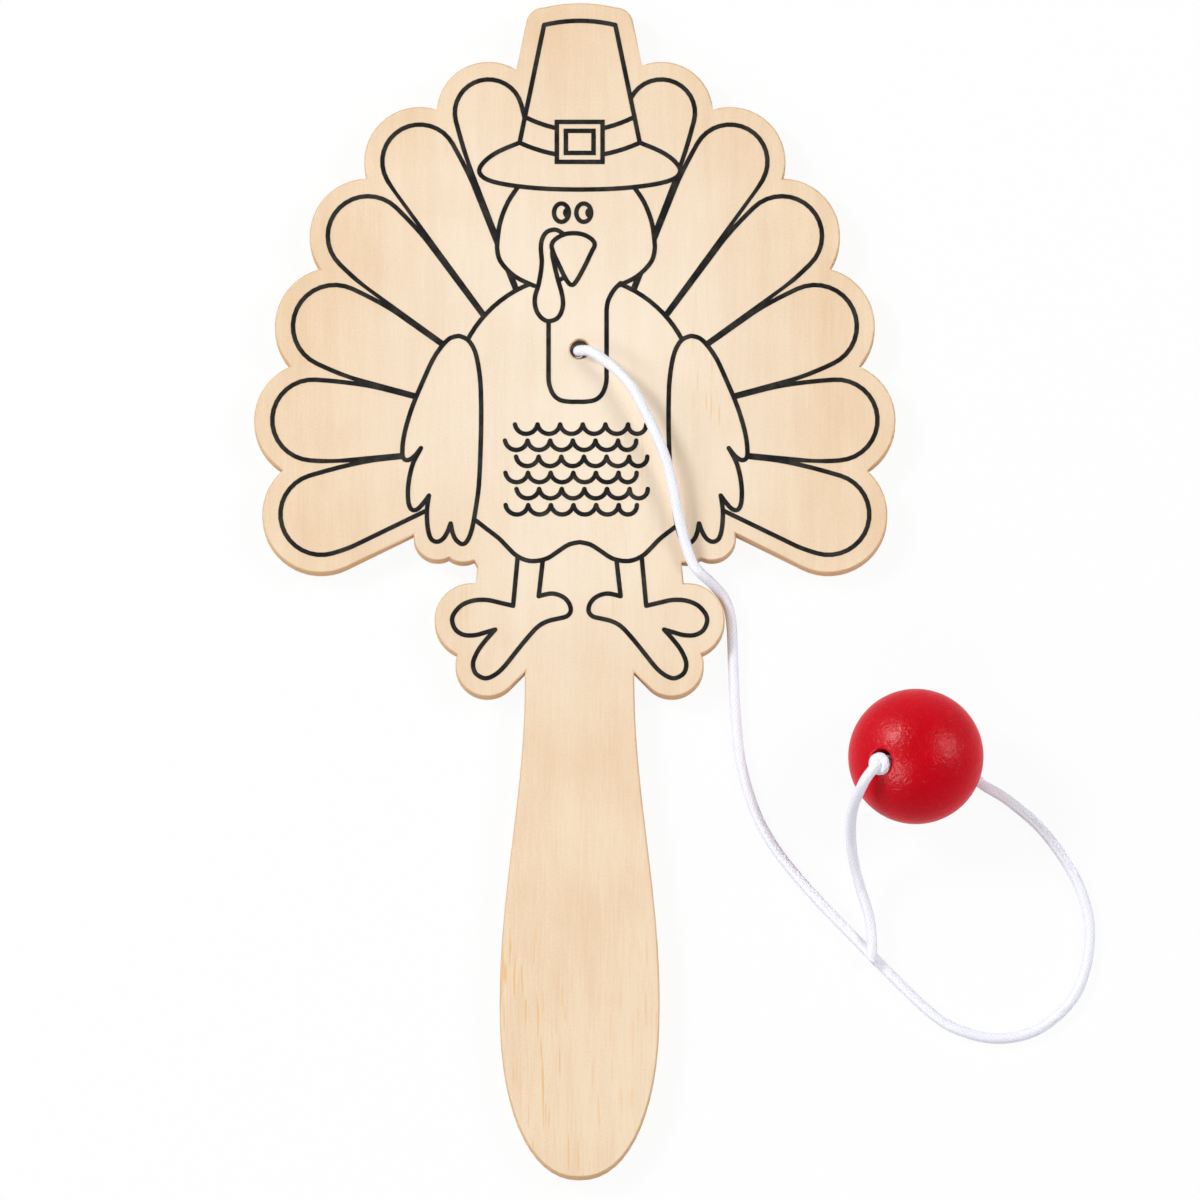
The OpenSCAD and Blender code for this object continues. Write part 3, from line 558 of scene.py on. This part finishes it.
def inkMaterial(spec):
    mat, tree, shader = newMaterial("inkLine")
    place = node(tree, "TexCoord").outputs["Object"]
    patch = node(tree, "TexNoise", {"Vector": place, "Scale": spec["patchScale"], "Detail": 4.0,
                                    "Roughness": 0.7}).outputs[0]
    colour = ramp(tree, patch, [(spec["patchFrom"], spec["full"]), (spec["patchTo"], spec["thin"])])
    tree.links.new(colour, shader.inputs["Base Color"])
    rough = maths(tree, "MULTIPLY_ADD", patch, spec["patchRoughness"], spec["roughness"])
    tree.links.new(rough, shader.inputs["Roughness"])
    height = placedGrain(tree, place, 0.0)["Height"]
    bump = node(tree, "Bump", {"Strength": spec["fibreStrength"], "Distance": spec["fibreDepth"],
                               "Height": height})
    tree.links.new(bump.outputs[0], shader.inputs["Normal"])
    shader.inputs["Specular IOR Level"].default_value = spec["specular"]
    return mat


yarnSpec = {
    "seam": (0.80, 0.815, 0.98),         # painted shade in the groove between two strands
    "strand": (0.975, 0.98, 1.0),
    "rim": (0.65, 0.69, 1.0),            # painted shade: the braid is tinted deeper and bluer toward its sides as seen
    "rimShare": 0.48,
    "rimBlend": 0.35,
    # painted shade: a dark tone mixed into the cord's colour, none for the cord in the open
    "recessShade": (0.16, 0.14, 0.12),
    "recessShadeShare": 0.0,
    "threads": (26.0, 14.0, 1.0),        # round the cord, and along it
    "threadTone": 0.5,
    "weaveTone": (0.95, -0.2),           # gain and offset
    "threadDepth": 0.06 * mm,
    "threadStrength": 0.3,
    "roughness": 0.5,
    "specular": 0.12,
}
recessShadeSpec = dict(yarnSpec, recessShadeShare=0.6)   # painted shade: the knot in the recess behind the board is darkened all over, standing in for the shade down the hole


def cordMaterial(name, spec):
    mat, tree, shader = newMaterial(name)
    uv = node(tree, "UVMap", uv_map="along").outputs[0]
    fibre = node(tree, "Mapping", {"Vector": uv, "Scale": spec["threads"]})
    thread = node(tree, "TexNoise", {"Vector": fibre.outputs[0], "Scale": 1.6, "Detail": 2.0}).outputs[0]
    # painted shade: darker from each strand's crown down to the seams
    weave = node(tree, "Attribute", attribute_name="weave").outputs["Fac"]
    weave = maths(tree, "MULTIPLY_ADD", weave, *spec["weaveTone"])
    tone = maths(tree, "MULTIPLY_ADD", thread, spec["threadTone"], weave, clamp=True)
    yarn = mixColour(tree, tone, (*spec["seam"], 1), (*spec["strand"], 1))
    # painted shade: deeper colour toward the cord's outline as seen
    rim = node(tree, "LayerWeight", {"Blend": spec["rimBlend"]}).outputs["Facing"]
    rim = maths(tree, "MULTIPLY", rim, spec["rimShare"], clamp=True)
    yarn = mixColour(tree, rim, yarn, (*spec["rim"], 1))
    # painted shade: the dark tone mixed in by the share the spec gives
    yarn = mixColour(tree, spec["recessShadeShare"], yarn, (*spec["recessShade"], 1))
    tree.links.new(yarn, shader.inputs["Base Color"])
    bump = node(tree, "Bump", {"Strength": spec["threadStrength"], "Distance": spec["threadDepth"],
                               "Height": thread})
    tree.links.new(bump.outputs[0], shader.inputs["Normal"])
    shader.inputs["Roughness"].default_value = spec["roughness"]
    shader.inputs["Specular IOR Level"].default_value = spec["specular"]
    return mat


paintSpec = {
    "deep": (0.55, 0.0002, 0.006),
    "bright": (0.63, 0.0004, 0.010),
    "blotchScale": 130.0,
    "blotchFrom": 0.3,
    "blotchTo": 0.7,
    "rim": (0.84, 0.036, 0.062),         # painted light: the paint is lighter and pinker toward the ball's outline as seen
    "rimShare": 0.5,
    "rimBlend": 0.5,
    "speck": (0.80, 0.13, 0.13),
    "speckScale": 1500.0,
    "speckCut": (14.0, -9.7),            # gain and offset that keep only the highest specks
    "speckShare": 0.3,
    "roughness": 0.26,
    "blotchRoughness": 0.14,
    "rippleScale": 900.0,
    "rippleDepth": 0.28 * mm,
    "rippleStrength": 0.48,
    "specular": 0.028,
}


def ballMaterial(spec):
    mat, tree, shader = newMaterial("redPaint")
    place = node(tree, "TexCoord").outputs["Object"]
    blotch = node(tree, "TexNoise", {"Vector": place, "Scale": spec["blotchScale"], "Detail": 3.0}).outputs[0]
    base = ramp(tree, blotch, [(spec["blotchFrom"], spec["deep"]), (spec["blotchTo"], spec["bright"])])
    # painted light: lighter colour toward the ball's outline as seen
    rim = node(tree, "LayerWeight", {"Blend": spec["rimBlend"]}).outputs["Facing"]
    base = mixColour(tree, maths(tree, "MULTIPLY", rim, spec["rimShare"]), base, (*spec["rim"], 1))
    speck = node(tree, "TexNoise", {"Vector": place, "Scale": spec["speckScale"], "Detail": 1.0,
                                    "Distortion": 1.5}).outputs[0]
    speck = maths(tree, "MULTIPLY_ADD", speck, *spec["speckCut"], clamp=True)
    base = mixColour(tree, maths(tree, "MULTIPLY", speck, spec["speckShare"]), base, (*spec["speck"], 1))
    tree.links.new(base, shader.inputs["Base Color"])
    rough = maths(tree, "MULTIPLY_ADD", blotch, spec["blotchRoughness"], spec["roughness"])
    tree.links.new(rough, shader.inputs["Roughness"])
    ripple = node(tree, "TexNoise", {"Vector": place, "Scale": spec["rippleScale"], "Detail": 2.0,
                                     "Distortion": 1.5}).outputs[0]
    bump = node(tree, "Bump", {"Strength": spec["rippleStrength"], "Distance": spec["rippleDepth"],
                               "Height": ripple})
    tree.links.new(bump.outputs[0], shader.inputs["Normal"])
    shader.inputs["Specular IOR Level"].default_value = spec["specular"]
    return mat


def dress(obj, mat):
    obj.data.materials.clear()
    obj.data.materials.append(mat)


dress(frontPly, woodMaterial("faceWood", woodSpec))
dress(backPly, woodMaterial("backWood", backSpec))
dress(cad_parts["core_ply"], woodMaterial("coreWood", coreSpec))
ink, braid = inkMaterial(inkSpec), cordMaterial("braidedCord", yarnSpec)
for name in ("tail_print", "hat_print", "head_print", "body_print", "wing_print", "feet_print"):
    dress(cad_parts[name], ink)
for piece in (cord, tail, ballKnot):
    dress(piece, braid)
# the knot in the recess behind the board gets the cord with painted shade
dress(stopper, cordMaterial("recessShadedCord", recessShadeSpec))
dress(ball, ballMaterial(paintSpec))
print("materials on")

lightSpec = {
    # each stands off along its direction from its target: metres and watts
    "lamps": {
        "keyLamp": {"toward": (-0.66, 0.36, 0.66), "away": 1.8, "size": 0.50, "power": 14.6},
        "sideLamp": {"toward": (0.70, 0.20, 0.68), "away": 1.8, "size": 0.80, "power": 10.9},
        "lowLamp": {"toward": (-0.87, -0.05, 0.50), "away": 1.8, "size": 0.50, "power": 3.8},
        "frontLamp": {"toward": (-0.10, -0.74, 0.66), "away": 1.8, "size": 0.50, "power": 3.2},
    },
    # seen only as soft highlights
    "softboxes": {
        "leftBox": {"toward": (-0.606, 0.490, 0.628), "away": 1.0, "size": 0.40, "power": 60.0},
        "rightBox": {"toward": (0.807, 0.184, 0.562), "away": 1.0, "size": 0.50, "power": 32.0},
        "lowBox": {"toward": (-0.582, -0.496, 0.644), "away": 1.0, "size": 0.30, "power": 50.0},
    },
    "sky": 0.34,              # what the white background sheds on the object
}
floorSpec = {
    "reach": 3.0,
    "drop": 0.05 * mm,        # below what rests on it, so that the two don't flicker
    "white": (0.93, 0.93, 0.93),
    "glow": 0.92,             # how much of the floor's white the camera sees without shade
    "roughness": 0.9,
    "specular": 0.1,
}


# One for rays from the camera, from a shine or through glass, and nothing for those that carry light
def seenDirectly(tree):
    path = node(tree, "LightPath").outputs
    mirrored = maths(tree, "MAXIMUM", path["Is Glossy Ray"], path["Is Transmission Ray"])
    return maths(tree, "MAXIMUM", path["Is Camera Ray"], mirrored)


def addFloor(spec):
    r, z = spec["reach"], -spec["drop"]
    obj = gridMesh("floorSheet", np.array([[[-r, -r, z], [r, -r, z]], [[-r, r, z], [r, r, z]]]),
                   closedAcross=False)
    mat, tree, shader = newMaterial("floorPaper")
    shader.inputs["Base Color"].default_value = (*spec["white"], 1)
    shader.inputs["Roughness"].default_value = spec["roughness"]
    shader.inputs["Specular IOR Level"].default_value = spec["specular"]
    white = node(tree, "Emission", {"Color": (1, 1, 1, 1), "Strength": 1.0})
    share = maths(tree, "MULTIPLY", seenDirectly(tree), spec["glow"])
    blend = node(tree, "MixShader", {0: share, 1: shader.outputs[0], 2: white.outputs[0]})
    tree.links.new(blend.outputs[0], tree.nodes["Material Output"].inputs["Surface"])
    dress(obj, mat)


# The background is plain white to look at, and gives less light than it shows
def addSky(level):
    world = bpy.data.worlds.new("studioSky")
    world.use_nodes = True
    tree = world.node_tree
    tree.nodes.clear()
    strength = maths(tree, "MULTIPLY_ADD", seenDirectly(tree), 1.0 - level, level)
    back = node(tree, "Background", {"Color": (1, 1, 1, 1), "Strength": strength})
    node(tree, "OutputWorld", {"Surface": back.outputs[0]})
    scene.world = world


def addLamp(name, spec, target, highlightOnly):
    lamp = bpy.data.lights.new(name, "AREA")
    lamp.shape = "DISK"
    lamp.size = spec["size"]
    lamp.energy = spec["power"]
    obj = bpy.data.objects.new(name, lamp)
    scene.collection.objects.link(obj)
    toward = np.array(spec["toward"]) / np.linalg.norm(spec["toward"])
    obj.location = np.asarray(target) + toward * spec["away"]
    obj.rotation_euler = (math.acos(toward[2]), 0, math.atan2(toward[0], -toward[1]))
    obj.visible_diffuse = not highlightOnly
    obj.visible_glossy = highlightOnly


addFloor(floorSpec)
addSky(lightSpec["sky"])
for name, spec in lightSpec["lamps"].items():
    addLamp(name, spec, cameraView["lookAt"], False)
for name, spec in lightSpec["softboxes"].items():
    addLamp(name, spec, ballSpec["centre"], True)
print("lit")
